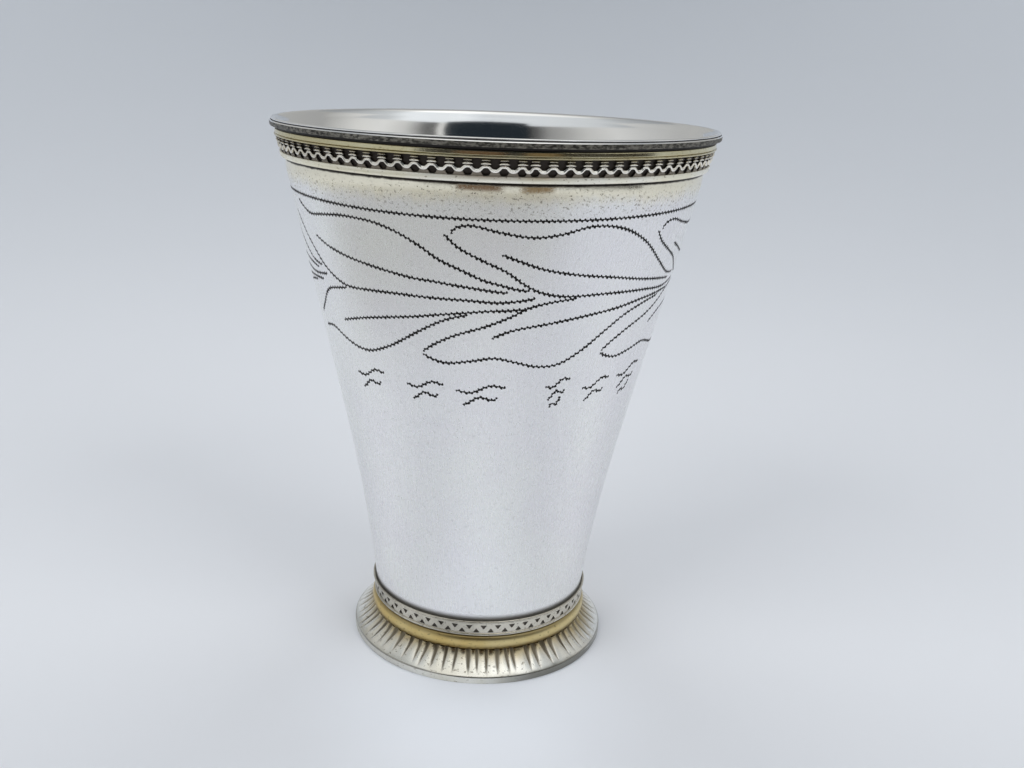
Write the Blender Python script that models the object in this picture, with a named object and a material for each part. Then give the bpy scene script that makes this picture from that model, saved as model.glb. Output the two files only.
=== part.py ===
"""A small parcel-gilt silver wedding cup: a tapering beaker on a fluted foot.

Metres, +Z up. The origin is the centre of the foot's underside, and +Z is the axis
that every piece is turned about. The pieces are the ones a silversmith solders
together: the raised cup, the two mouldings and the wave wire of the rim band, and
the wave strip, the swelling moulding and the fluted skirt of the foot.
"""

import math

import bmesh
import bpy

MM = 0.001

# Driving sizes.
CUP_HEIGHT = 100.0 * MM
MOUTH_RADIUS = 39.3 * MM  # of the wall's outside, where it meets the lip
WALL = 0.9 * MM
WALL_SLOPE = 0.228  # how far the straight part leans out for each unit of height
EASE_HEIGHT = 45.0 * MM  # below this the wall eases towards upright
EASE_SPREAD = 3.2 * MM  # how much wider than the straight cone the wall is at the ground
GAP = 0.3 * MM  # left between neighbouring pieces, where the solder runs

# The lip, a turned-out edge of the cup itself, with an upright face.
LIP_RADIUS = 40.1 * MM
LIP_ROUND = 0.35 * MM
LIP_DEPTH = 1.6 * MM

# The cup's bottom.
CUP_UNDERSIDE = 5.3 * MM
BOTTOM = 1.0 * MM
BASE_CORNER = 1.1 * MM

# The rim band, from the top down.
UPPER_TOP = 98.1 * MM
UPPER_BOTTOM = 96.95 * MM
UPPER_PROUD = 0.45 * MM
WAVES = 90
WAVE_HEIGHT = 95.6 * MM  # middle of the wave
WAVE_RISE = 0.4 * MM
WAVE_WIRE = 0.36 * MM
LOWER_TOP = 94.45 * MM
LOWER_BOTTOM = 93.45 * MM
LOWER_PROUD = 0.42 * MM

# The foot, from the top down.
STRIP_TOP = 10.9 * MM
STRIP_BOTTOM = 7.7 * MM
STRIP_THICK = 0.4 * MM
STRIP_BEAD = 0.25 * MM  # how far the beads along its edges stand out
MOULDING_TOP = 7.4 * MM
MOULDING_BOTTOM = 4.95 * MM
MOULDING_RADIUS = 21.5 * MM
MOULDING_SWELL = 0.45 * MM  # how far its middle stands out beyond its edges
SKIRT_TOP = 4.65 * MM
SKIRT_TOP_RADIUS = 21.3 * MM
SKIRT_THICK = 0.9 * MM
SKIRT_INNER_RADIUS = 19.2 * MM
FLANGE_RADIUS = 25.05 * MM
FLANGE_HEIGHT = 1.3 * MM
FLANGE_WIDTH = 1.2 * MM  # of the flat ring that the cup stands on
FLUTES = 70
FLUTE_DEPTH = 0.5 * MM
FLUTE_END_RADIUS = 24.35 * MM
FLUTE_END_HEIGHT = 2.1 * MM

TURNED_SIDES = 48
SEAM_MERGE = 0.05 * MM
SMOOTH_ANGLE = math.radians(35)


def clear_scene():
    for obj in list(bpy.data.objects):
        bpy.data.objects.remove(obj)


def metal(name, colour, roughness):
    material = bpy.data.materials.new(name)
    material.use_nodes = True
    shader = material.node_tree.nodes["Principled BSDF"]
    shader.inputs["Base Color"].default_value = (*colour, 1.0)
    shader.inputs["Roughness"].default_value = roughness
    shader.inputs["Metallic"].default_value = 1.0
    return material


def wall_radius(z):
    """The cup's outside radius at a height: a straight cone that eases out near the ground."""
    straight = MOUTH_RADIUS - WALL_SLOPE * (CUP_HEIGHT - z)
    ease = max(0.0, 1.0 - z / EASE_HEIGHT)
    return straight + EASE_SPREAD * ease**2


def seat_radius(z):
    """The inner radius of a piece that is soldered round the cup."""
    return wall_radius(z) + GAP


def finish(obj, material):
    obj.data.materials.append(material)
    obj.data.shade_smooth()
    obj.data.set_sharp_from_angle(angle=SMOOTH_ANGLE)


def turned(name, profile, closed, material):
    """A piece turned about Z from (radius, height) points that run down its outside."""
    mesh = bpy.data.meshes.new(name)
    edges = [(i, i + 1) for i in range(len(profile) - 1)]
    if closed:
        edges.append((len(profile) - 1, 0))
    mesh.from_pydata([(radius, 0.0, z) for radius, z in profile], edges, [])
    obj = bpy.data.objects.new(name, mesh)
    bpy.context.collection.objects.link(obj)
    screw = obj.modifiers.new("Turn", "SCREW")
    screw.steps = TURNED_SIDES
    screw.render_steps = TURNED_SIDES
    screw.use_merge_vertices = True
    screw.merge_threshold = SEAM_MERGE
    screw.use_smooth_shade = True
    finish(obj, material)
    return obj


def ring_of_sections(name, sections, material):
    """A closed ring through sections, each a list of (radius, height), spaced evenly about Z."""
    mesh = bmesh.new()
    rings = []
    for step, section in enumerate(sections):
        angle = 2.0 * math.pi * step / len(sections)
        turn = (math.cos(angle), math.sin(angle))
        rings.append([mesh.verts.new((r * turn[0], r * turn[1], z)) for r, z in section])
    for ring, following in zip(rings, rings[1:] + rings[:1]):
        for i, corner in enumerate(ring):
            j = (i + 1) % len(ring)
            mesh.faces.new((corner, ring[j], following[j], following[i]))
    bmesh.ops.recalc_face_normals(mesh, faces=mesh.faces)
    data = bpy.data.meshes.new(name)
    mesh.to_mesh(data)
    mesh.free()
    obj = bpy.data.objects.new(name, data)
    bpy.context.collection.objects.link(obj)
    finish(obj, material)
    return obj


def cup_body(material):
    """The raised cup: lip, tapering wall and flat bottom, open at the top."""
    lip_root = CUP_HEIGHT - LIP_DEPTH
    stations = [EASE_HEIGHT * share for share in (1.0, 0.77, 0.55, 0.36, 0.2)]
    outside = [
        (LIP_RADIUS - LIP_ROUND, CUP_HEIGHT),
        (LIP_RADIUS, CUP_HEIGHT - 1.5 * LIP_ROUND),
        (LIP_RADIUS - LIP_ROUND / 3, lip_root + LIP_ROUND / 2),
        (wall_radius(lip_root), lip_root),
    ]
    outside += [(wall_radius(z), z) for z in stations]
    base = wall_radius(CUP_UNDERSIDE)
    outside += [
        (base, CUP_UNDERSIDE + BASE_CORNER),
        (base - BASE_CORNER * 0.3, CUP_UNDERSIDE + BASE_CORNER * 0.3),
        (base - BASE_CORNER, CUP_UNDERSIDE),
        (0.0, CUP_UNDERSIDE),
    ]
    floor = CUP_UNDERSIDE + BOTTOM
    floor_radius = base - WALL - BASE_CORNER
    inside = [
        (0.0, floor),
        (floor_radius, floor),
        (base - WALL, floor + BASE_CORNER),
    ]
    inside += [(wall_radius(z) - WALL, z) for z in reversed(stations)]
    inside += [
        (MOUTH_RADIUS - WALL, CUP_HEIGHT - LIP_ROUND),
        (MOUTH_RADIUS - WALL + LIP_ROUND, CUP_HEIGHT),
    ]
    return turned("cup_body", outside + inside, True, material)


def rim_upper_moulding(material):
    """A thin fillet, a hollow and a roll, soldered close under the lip."""
    height = UPPER_TOP - UPPER_BOTTOM
    roll_foot = UPPER_BOTTOM + 0.5 * height
    fillet_top = UPPER_BOTTOM + 0.25 * height
    profile = [
        (seat_radius(UPPER_TOP), UPPER_TOP),
        (seat_radius(UPPER_TOP) + 0.6 * UPPER_PROUD, UPPER_TOP),
        (seat_radius(UPPER_TOP) + UPPER_PROUD, UPPER_TOP - 0.25 * height),
        (seat_radius(roll_foot) + 0.6 * UPPER_PROUD, roll_foot),
        (seat_radius(fillet_top) + 0.9 * UPPER_PROUD, fillet_top),
        (seat_radius(UPPER_BOTTOM) + UPPER_PROUD, UPPER_BOTTOM),
        (seat_radius(UPPER_BOTTOM), UPPER_BOTTOM),
    ]
    return turned("rim_upper_moulding", profile, True, material)


def rim_lower_wire(material):
    """The half-round wire that closes the rim band below."""
    middle = (LOWER_TOP + LOWER_BOTTOM) / 2
    profile = [
        (seat_radius(LOWER_TOP), LOWER_TOP),
        (seat_radius(LOWER_TOP) + 0.6 * LOWER_PROUD, LOWER_TOP),
        (seat_radius(middle) + LOWER_PROUD, middle),
        (seat_radius(LOWER_BOTTOM) + 0.6 * LOWER_PROUD, LOWER_BOTTOM),
        (seat_radius(LOWER_BOTTOM), LOWER_BOTTOM),
    ]
    return turned("rim_lower_wire", profile, True, material)


def rim_wave_wire(material):
    """The wire bent to a wave that runs round between the two mouldings, flat at the back."""
    sections = []
    for step in range(WAVES * 4):
        side = 1.0 if step % 4 < 2 else -1.0
        z = WAVE_HEIGHT + side * WAVE_RISE
        seat = seat_radius(z)
        half = WAVE_WIRE / 2
        sections.append([(seat, z + half), (seat + WAVE_WIRE, z), (seat, z - half)])
    return ring_of_sections("rim_wave_wire", sections, material)


def foot_wave_strip(material):
    """The strip round the cup's base, with a bead along each edge."""
    bead = STRIP_TOP - 2 * STRIP_BEAD
    foot = STRIP_BOTTOM + 2 * STRIP_BEAD
    profile = [
        (seat_radius(STRIP_TOP), STRIP_TOP),
        (seat_radius(STRIP_TOP) + STRIP_THICK + STRIP_BEAD, STRIP_TOP - STRIP_BEAD),
        (seat_radius(bead) + STRIP_THICK, bead),
        (seat_radius(foot) + STRIP_THICK, foot),
        (seat_radius(foot) + STRIP_THICK + STRIP_BEAD, STRIP_BOTTOM + STRIP_BEAD),
        (seat_radius(STRIP_BOTTOM), STRIP_BOTTOM),
    ]
    return turned("foot_wave_strip", profile, True, material)


def foot_moulding(material):
    """The low, swelling moulding between the strip and the skirt."""
    seat = seat_radius(MOULDING_TOP)
    height = MOULDING_TOP - MOULDING_BOTTOM
    edge = MOULDING_RADIUS - MOULDING_SWELL
    shoulder = MOULDING_RADIUS - 0.25 * MOULDING_SWELL
    profile = [
        (seat, MOULDING_TOP),
        (edge, MOULDING_TOP),
        (shoulder, MOULDING_TOP - 0.2 * height),
        (MOULDING_RADIUS, MOULDING_TOP - 0.5 * height),
        (shoulder, MOULDING_TOP - 0.8 * height),
        (edge, MOULDING_BOTTOM),
        (seat, MOULDING_BOTTOM),
    ]
    return turned("foot_moulding", profile, True, material)


def skirt_section(depth):
    """One section of the skirt, its flared outside cut in by a depth between top and flute end."""
    inside_top = SKIRT_TOP - SKIRT_THICK
    outside = [(SKIRT_TOP_RADIUS - depth, SKIRT_TOP)]
    for share in (0.33, 0.67):
        flare = share**0.8
        r = SKIRT_TOP_RADIUS + flare * (FLUTE_END_RADIUS - SKIRT_TOP_RADIUS)
        z = SKIRT_TOP + share * (FLUTE_END_HEIGHT - SKIRT_TOP)
        outside.append((r - depth, z - depth / 2))
    outside += [
        (FLUTE_END_RADIUS, FLUTE_END_HEIGHT),
        (FLANGE_RADIUS, FLANGE_HEIGHT),
        (FLANGE_RADIUS, 0.0),
    ]
    inside = [
        (FLANGE_RADIUS - FLANGE_WIDTH, 0.0),
        (SKIRT_TOP_RADIUS - SKIRT_THICK, inside_top),
        (SKIRT_INNER_RADIUS, inside_top),
        (SKIRT_INNER_RADIUS, SKIRT_TOP),
    ]
    return outside + inside


def foot_skirt(material):
    """The flaring skirt with chased flutes and a plain flange that the cup stands on."""
    ridge = skirt_section(0.0)
    groove = skirt_section(FLUTE_DEPTH)
    return ring_of_sections("foot_skirt", [ridge, groove] * FLUTES, material)


def main():
    clear_scene()
    silver = metal("silver", (0.86, 0.85, 0.84), 0.25)
    gilt = metal("gilding", (0.83, 0.68, 0.38), 0.25)
    cup_body(silver)
    rim_upper_moulding(gilt)
    rim_wave_wire(silver)
    rim_lower_wire(gilt)
    foot_wave_strip(silver)
    foot_moulding(gilt)
    foot_skirt(silver)


main()
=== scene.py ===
"""The wedding cup's looks: raised and engraved silver, gilt mouldings, waves and flutes.

Metres, +Z up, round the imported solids. Angles run round the cup from the front (-Y), and
grow towards +X. Lengths taken from the silversmith's work are in millimetres times MM.
"""
import math
import random

import bpy
from mathutils import Matrix, Vector


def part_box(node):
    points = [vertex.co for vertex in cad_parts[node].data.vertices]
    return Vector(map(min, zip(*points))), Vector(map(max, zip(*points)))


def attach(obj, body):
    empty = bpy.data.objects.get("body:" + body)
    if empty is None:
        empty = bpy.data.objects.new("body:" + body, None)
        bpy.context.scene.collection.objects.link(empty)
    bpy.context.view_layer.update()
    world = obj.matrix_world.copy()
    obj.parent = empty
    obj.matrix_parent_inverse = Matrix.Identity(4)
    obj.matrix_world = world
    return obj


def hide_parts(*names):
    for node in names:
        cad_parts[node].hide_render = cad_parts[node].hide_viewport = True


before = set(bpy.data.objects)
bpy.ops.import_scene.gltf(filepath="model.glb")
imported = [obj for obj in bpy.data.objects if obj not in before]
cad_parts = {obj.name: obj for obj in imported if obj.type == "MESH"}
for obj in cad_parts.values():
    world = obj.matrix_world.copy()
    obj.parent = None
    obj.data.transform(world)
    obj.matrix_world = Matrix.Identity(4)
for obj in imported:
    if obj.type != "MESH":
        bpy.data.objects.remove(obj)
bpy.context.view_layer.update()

MM = 0.001

# ---------------------------------------------------------------- the cup's form

CUP_LOW, CUP_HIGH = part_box("cup_body")
HEIGHT = CUP_HIGH.z
LIP_RADIUS = CUP_HIGH.x
UNDERSIDE = CUP_LOW.z
MOUTH_RADIUS = 39.3 * MM  # of the wall's outside, carried up to the mouth
WALL = 0.9 * MM
WALL_SLOPE = 0.228
EASE_HEIGHT = 45.0 * MM  # below this the wall eases towards upright
EASE_SPREAD = 3.2 * MM
BOTTOM = 1.0 * MM
CORNER = 1.1 * MM  # round the bottom's edge, outside
FLOOR_CORNER = 2.2 * MM  # the same inside

CUP_SIDES = 432
TRIM_SIDES = 256

# The wall's rings, in millimetres up.
WALL_HEIGHTS = (
    8.5, 11.0, 14.0, 18.0, 22.0, 26.0, 30.0, 34.0, 38.0, 42.0, 46.0, 52.0, 60.0, 68.0, 76.0, 84.0, 90.0,
)
# Under the rim's lower wire the wall turns almost upright: (growth since the ring below, height).
RIM_BEND = ((0.20, 91.0), (0.328, 91.8), (0.405, 92.5), (0.447, 93.1), (0.48, 93.7))
UNDER_RIM_HEIGHTS = (94.3, 98.2, 98.6)
# The lip's edge with its chamfer and scribed line, and the flared mouth: (in from the lip, height).
LIP_EDGE = (
    (0.16, 98.63), (0.07, 98.72), (0.0, 99.30), (0.03, 99.40),
    (0.20, 99.57), (0.36, 99.62), (0.27, 99.74),
)
LIP_ROUND = 0.26 * MM
MOUTH_FLARE = ((0.78, 99.97), (1.05, 99.86), (1.28, 99.60), (1.48, 99.25), (1.66, 98.85), (1.84, 98.40))
MOUTH_HEIGHTS = (97.8, 96.0)  # rings inside, between the flare and the wall's own

# The cup's metals, in the order of its material slots, and where one gives way to the next.
OUTSIDE, RUBBED, DARK, LIP_FACE = range(4)
SCRIBED_LOW, SCRIBED_HIGH = 99.575 * MM, 99.74 * MM
SCRIBED_BACK = LIP_RADIUS - 0.4 * MM
RUBBED_FROM = 99.36 * MM
# The lip's outer face is painted dark: tarnish with painted shade.
LIP_FACE_FROM = 98.66 * MM
# From here up to the lip's face the wall is painted near black: painted shade in the gap between the lip
# and the roll, partly tarnish.
GAP_SHADE_FROM = 98.0 * MM
MOUTH_TOP = 99.9 * MM

# ---------------------------------------------------------------- the engraving

STROKE = 0.90 * MM  # one step of the rocked graver
ROCK = 0.11 * MM  # how far each step swings to either side of the line
CUT_HALF = 0.34 * MM
CUT_DEPTH = 0.19 * MM
CUT_LIFT = 0.05 * MM  # how far the cutter stands out of the wall
# One step of the graver: place along the step, side it leans to, weight of the cut.
STEP_STATIONS = (
    (0.02, -0.9, 0.8), (0.36, -1.0, 1.0), (0.50, 0.0, 0.28), (0.62, 1.0, 0.98), (0.86, 0.8, 0.8),
)
PRESS = (0.85, 1.12)  # the lightest and the heaviest push of the hand
LINE_END = 0.12  # weight of a cut where its line starts and ends

BORDER_HEIGHT = 88.3  # of the border line at the sides, in millimetres
BORDER_DIP = 0.7  # and how much lower it runs at the front and the back

# One leaf of the frieze, each line as (degrees, millimetres up) points that it runs through.
LEAF_UPPER_EDGE = (
    (-10.1, 85.1), (-8.6, 86.2), (-4.5, 86.6), (2.2, 85.7), (10.4, 85.0), (17.6, 85.5),
    (25.8, 86.7), (35.2, 86.1), (44.6, 83.6), (54.1, 79.7), (62.5, 77.0), (70.0, 76.3),
)
LEAF_MIDRIB = (
    (-11.8, 85.1), (-8.1, 83.0), (-2.0, 81.1), (4.2, 79.4), (9.3, 77.3), (14.4, 75.9),
    (21.6, 75.2), (34.0, 75.2), (48.6, 74.9), (62.0, 74.4), (72.5, 75.0),
)
LEAF_UPPER_VEIN = (
    (2.7, 82.2), (7.3, 81.2), (14.4, 79.8), (23.7, 78.8), (36.1, 77.9), (48.7, 76.8), (66.0, 75.6),
)
LEAF_LOBE = (
    (-19.7, 64.8), (-15.4, 66.5), (-9.2, 68.3), (-1.0, 70.0), (6.1, 71.8), (11.3, 73.4),
    (17.5, 74.3), (24.7, 74.8),
)
LEAF_LOWER_VEIN = (
    (1.0, 68.0), (7.2, 69.5), (16.4, 70.5), (28.7, 71.6), (40.1, 72.4), (50.7, 73.2), (68.0, 73.7),
)
LEAF_LOWER_EDGE = (
    (-19.7, 64.5), (-17.4, 63.8), (-12.3, 63.2), (-5.2, 63.8), (2.0, 64.5), (8.1, 63.9),
    (15.3, 63.0), (22.5, 63.3), (29.7, 65.5), (37.0, 68.5), (44.3, 71.0), (52.8, 72.4), (60.8, 73.0),
)
# Where each such leaf starts, in degrees, for its upper and its lower lines, and how far it reaches.
LEAF_STARTS = (
    (0.0, 0.0, 1.0), (61.0, 57.0, 1.0), (121.0, 117.5, 1.0), (180.0, 179.0, 1.0), (239.5, 240.5, 0.90),
)
# The leaf on the left of the front one is cut a little differently: its lines by their kind.
LEFT_LEAF = (
    ("edges", (
        (-65.2, 87.1), (-62.6, 86.2), (-57.4, 85.2), (-50.6, 85.6), (-42.6, 86.1), (-36.2, 86.1),
        (-30.7, 85.8), (-24.4, 84.7), (-18.5, 82.9), (-13.4, 80.9), (-7.6, 79.4), (-1.8, 77.9),
        (2.7, 77.2), (7.2, 76.5), (10.8, 76.25),
    )),
    ("edges", (
        (-66.5, 64.6), (-60.5, 65.2), (-57.0, 65.0), (-53.4, 64.3), (-48.8, 63.5), (-43.8, 63.0),
        (-38.6, 63.2), (-31.5, 64.7), (-26.6, 66.2), (-20.5, 68.3), (-14.2, 70.3), (-9.9, 71.3),
        (-5.7, 71.9),
    )),
    ("midribs", (
        (-71.0, 84.8), (-66.4, 81.9), (-61.3, 79.3), (-55.8, 76.6), (-49.8, 74.8), (-44.2, 74.0),
        (-35.0, 74.2), (-26.4, 74.4), (-19.6, 74.4), (-12.5, 74.4), (-5.7, 74.4), (1.7, 74.2),
        (6.3, 74.4), (9.9, 74.7), (12.6, 75.0),
    )),
    ("veins", (
        (-57.2, 81.6), (-51.4, 80.4), (-43.7, 79.4), (-36.2, 78.7), (-28.0, 78.0), (-20.6, 77.4),
        (-15.1, 77.2), (-10.6, 76.9), (-4.4, 76.5), (0.9, 76.1), (5.0, 75.9),
    )),
    ("veins", (
        (-50.5, 67.4), (-40.0, 68.9), (-30.0, 70.0), (-21.6, 70.8), (-14.1, 71.6), (-7.1, 72.2),
        (-0.5, 72.7), (5.3, 72.9), (10.4, 73.2),
    )),
    ("lobes", (
        (-68.0, 66.9), (-62.9, 69.1), (-59.0, 71.2), (-55.2, 72.5), (-49.5, 73.2), (-45.5, 73.6),
    )),
)

# The strokes below the frieze, in groups: (centre in degrees, width in degrees, rise, lines).
STROKE_GROUPS = (
    (-41.8, 13.5, 1.7, 2), (-20.0, 13.0, 1.1, 2), (-1.7, 16.0, 1.3, 2),
    (23.4, 8.5, 1.5, 3), (38.8, 11.5, 1.6, 2), (55.8, 14.0, 1.7, 3),
)
STROKE_HEIGHT = 57.8
STROKE_LEADING = 1.9  # millimetres between the lines of a group
STROKE_WAVER = 0.45
STROKE_SHORTER = 0.28  # how much shorter each line is than the one above it

# ---------------------------------------------------------------- the rim band and the foot

# The roll under the lip: where its face is, as (height, proud of the wall), and its outline
# as (out from that face, height). All in millimetres, as below.
ROLL_SEAT = (97.74, 0.40)
RIM_ROLL = (
    (-0.14, 98.11), (-0.03, 98.07), (0.0, 98.0), (0.0, 97.94),
    (0.0, 97.52), (0.0, 97.46), (-0.03, 97.40), (-0.10, 97.37),
)
RIM_FILLET_HEIGHT = 97.17
# The lower wire and the ledge on it: (proud of the wall, height).
LOWER_WIRE = (
    (-0.45, 94.41), (0.26, 94.40), (0.41, 94.32), (0.47, 93.93),
    (0.44, 93.58), (0.32, 93.38), (-0.45, 93.34),
)
LEDGE = ((-0.05, 94.92), (0.16, 94.90), (0.24, 94.80), (0.24, 94.42), (0.15, 94.36), (-0.05, 94.36))
LEDGE_HOLE_HEIGHT = 94.98
LEDGE_HOLE = (1.42 * MM, 0.9 * MM, 1.36 * MM)

# The wave's crests are evenly spaced, but for one short gap where the strip's ends meet.
WAVE_COUNT = 90
SEAM_CREST = 6.25
SEAM_GAP = 2.8

STRIP_POCKETS = 49
POCKET = (1.5 * MM, 0.9 * MM, 1.26 * MM)
# The two rows of pockets: degrees of the first, height, and which way their points look.
POCKET_ROWS = ((-3.8, 9.68, True), (-0.1, 8.72, False))
STRIP_BEAD = 0.26 * MM
PUNCH_ROUND = 0.17 * MM

# (radius, height) in millimetres, from under the swell down to the foot and up inside.
SKIRT_OUTSIDE = (
    (21.18, 4.76), (21.32, 4.52), (21.56, 4.22), (21.9, 3.88), (22.28, 3.54), (22.68, 3.2),
    (23.08, 2.87), (23.48, 2.54), (23.88, 2.22), (24.26, 1.91), (24.58, 1.66), (24.84, 1.47),
    (24.95, 1.38), (25.02, 1.29), (25.05, 1.18), (25.05, 0.22), (24.98, 0.06), (24.8, 0.0),
)
SKIRT_INSIDE = (
    (23.85, 0.0), (23.55, 0.35), (22.3, 2.1), (21.0, 3.4), (20.4, 3.75), (19.3, 3.75), (19.3, 4.76),
)
SKIRT_SIDES = 1440
FLUTE_TOP = SKIRT_OUTSIDE[0][1]
FLUTE_FOOT = SKIRT_OUTSIDE[11][1]
FLUTE_TIP = 0.16  # half width of a flute at its lower end
FLUTE_REACH = 3.5  # degrees to either side that a flute can alter
SINK = 0.85  # share of a flute's depth that goes inwards
DROP = 0.5  # and share that goes down
DRAWN_IN = 0.26  # how far the metal beside a flute goes in with it
DRAWN_HALF = 2.9  # and over how many degrees to either side
FRONT_FLUTES = (
    -41.6, -34.9, -29.8, -25.2, -20.3, -15.1, -9.7, -3.9, 0.5,
    5.5, 11.0, 15.3, 18.5, 26.5, 30.8, 36.1, 41.4, 47.5,
)
BACK_FLUTES = 52
BACK_SHIFT = 0.7  # degrees that a flute at the back may be out of its even place
# A flute's half width at the top, depth, height of its lower end, and lean in degrees: (least, most).
FLUTE_SPANS = ((0.46, 0.72), (0.36, 0.62), (1.52, 1.9), (-1.2, 1.2))

# ---------------------------------------------------------------- colours

SILVER = (0.93, 0.92, 0.90)
INNER_GREY = (0.86, 0.86, 0.87)
COOL_SILVER = (0.90, 0.885, 0.90)
WARM_SILVER = (0.935, 0.935, 0.915)
PALE_GILT = (0.96, 0.90, 0.73)
# Near black: tarnish in the ledge's holes, and painted shade (partly tarnish) on the wall under the
# rim's lower wire.
TARNISH_AND_SHADE = (0.045, 0.038, 0.034)
# Painted shade on the wall just above the foot strip.
FOOT_STRIP_SHADE = (0.13, 0.125, 0.12)
WORN_FLECKS = (0.30, 0.27, 0.22)
WALL_PITS = (0.45, 0.44, 0.43)
# Brown at the gilding's edges: grime with painted shade.
GILT_GRIME_AND_SHADE = (0.20, 0.14, 0.065)
GILT_PITS = (0.16, 0.11, 0.05)
TRIM_PITS = (0.12, 0.10, 0.08)
FLUTE_GREY = (0.80, 0.77, 0.68)
FLUTE_BRIGHT = (0.93, 0.915, 0.86)
FLUTE_GILT = (0.48, 0.385, 0.215)
FLUTE_PITS = (0.20, 0.165, 0.11)
HOLLOW_DEEP = (0.13, 0.105, 0.07)
HOLLOW_LIGHT = (0.27, 0.23, 0.165)
# Painted shade: the line along the flange's corner, and the darker flange on the right side.
CORNER_SHADE = (0.16, 0.145, 0.12)
FLANGE_SHADE = (0.22, 0.215, 0.19)

# Heights on the wall between which a finish comes or goes.
GILT_ZONE = (88.9 * MM, 92.0 * MM)
WORN_FROM = (86.0 * MM, 89.5 * MM)
WORN_TO = (93.2 * MM, 91.4 * MM)
# Painted shade, partly tarnish, on the wall under the rim's lower wire.
SHADE_UNDER_WIRE = (92.72 * MM, 93.02 * MM)
# Painted shade on the wall above the foot strip.
SHADE_ABOVE_STRIP = (12.3 * MM, 11.0 * MM)
SMOOTH_BAND = (91.0 * MM, 91.7 * MM)

# ---------------------------------------------------------------- the cup's wall


def wall_radius(z):
    straight = MOUTH_RADIUS - WALL_SLOPE * (HEIGHT - z)
    ease = max(0.0, 1.0 - z / EASE_HEIGHT)
    return straight + EASE_SPREAD * ease**2


def seat(z, proud=0.0):
    """Radius of a point at so many millimetres up that stands proud of the wall by so many."""
    return wall_radius(z * MM) + proud * MM


def on_wall(angle, z, aside, along, out):
    """A point near the wall: moved aside along a (round, up) direction in the wall, and outwards."""
    slope = math.hypot(1.0, WALL_SLOPE)
    angle += along[0] * aside / wall_radius(z)
    z += along[1] * aside / slope
    normal = Vector((math.sin(angle), -math.cos(angle), -WALL_SLOPE)) / slope
    radius = wall_radius(z)
    return Vector((radius * math.sin(angle), -radius * math.cos(angle), z)) + out * normal


class WallLine:
    """A line on the cup's wall that is measured along its length."""

    def __init__(self, points):
        self.points = [(math.radians(a), z * MM) for a, z in points]
        self.lengths = [0.0]
        for (a0, z0), (a1, z1) in zip(self.points, self.points[1:]):
            radius = wall_radius((z0 + z1) / 2)
            step = math.hypot(radius * (a1 - a0), (z1 - z0) * math.hypot(1.0, WALL_SLOPE))
            self.lengths.append(self.lengths[-1] + step)
        self.length = self.lengths[-1]

    def at(self, distance):
        """Angle, height and unit direction (round, up) at a distance along the line."""
        distance = min(max(distance, 0.0), self.length)
        i = 0
        while i < len(self.lengths) - 2 and self.lengths[i + 1] < distance:
            i += 1
        (a0, z0), (a1, z1) = self.points[i], self.points[i + 1]
        span = self.lengths[i + 1] - self.lengths[i]
        t = (distance - self.lengths[i]) / span if span else 0.0
        radius = wall_radius(z0)
        direction = Vector((radius * (a1 - a0), (z1 - z0) * math.hypot(1.0, WALL_SLOPE))).normalized()
        return a0 + t * (a1 - a0), z0 + t * (z1 - z0), direction


# ---------------------------------------------------------------- modelling helpers


def arc(centre, radii, start, end, steps):
    """Points on an arc in the (radius, height) plane, from one angle in degrees to another."""
    points = []
    for i in range(steps + 1):
        a = math.radians(start + (end - start) * i / steps)
        points.append((centre[0] + radii[0] * math.cos(a), centre[1] + radii[1] * math.sin(a)))
    return points


def smooth_path(points, steps=10):
    """A smooth line through the points (Catmull-Rom), as a list of (degrees, millimetres)."""
    padded = [points[0], *points, points[-1]]
    line = []
    for knots in zip(padded, padded[1:], padded[2:], padded[3:]):
        for i in range(steps):
            t = i / steps
            line.append(tuple(
                0.5 * (2 * b + (c - a) * t + (2 * a - 5 * b + 4 * c - d) * t**2
                       + (3 * b - a - 3 * c + d) * t**3)
                for a, b, c, d in zip(*knots)
            ))
    line.append(points[-1])
    return line


def deselect():
    if bpy.context.mode != "OBJECT":
        bpy.ops.object.mode_set(mode="OBJECT")
    bpy.ops.object.select_all(action="DESELECT")


def activate(obj):
    deselect()
    obj.select_set(True)
    bpy.context.view_layer.objects.active = obj


def edit_all(obj):
    """Opens the piece in edit mode with all of it selected."""
    activate(obj)
    bpy.ops.object.mode_set(mode="EDIT")
    bpy.ops.mesh.select_all(action="SELECT")


def leave_edit():
    bpy.ops.object.mode_set(mode="OBJECT")


def settle(obj, angle=30.0):
    """Puts the piece's place into its mesh and shades its round faces smooth."""
    activate(obj)
    bpy.ops.object.transform_apply(location=True, rotation=True, scale=True)
    bpy.ops.object.shade_smooth_by_angle(angle=math.radians(angle))


def paint(obj, *materials):
    for material in materials:
        obj.data.materials.append(material)


def dress(obj, node):
    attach(obj, "root")
    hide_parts(node)


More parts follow.
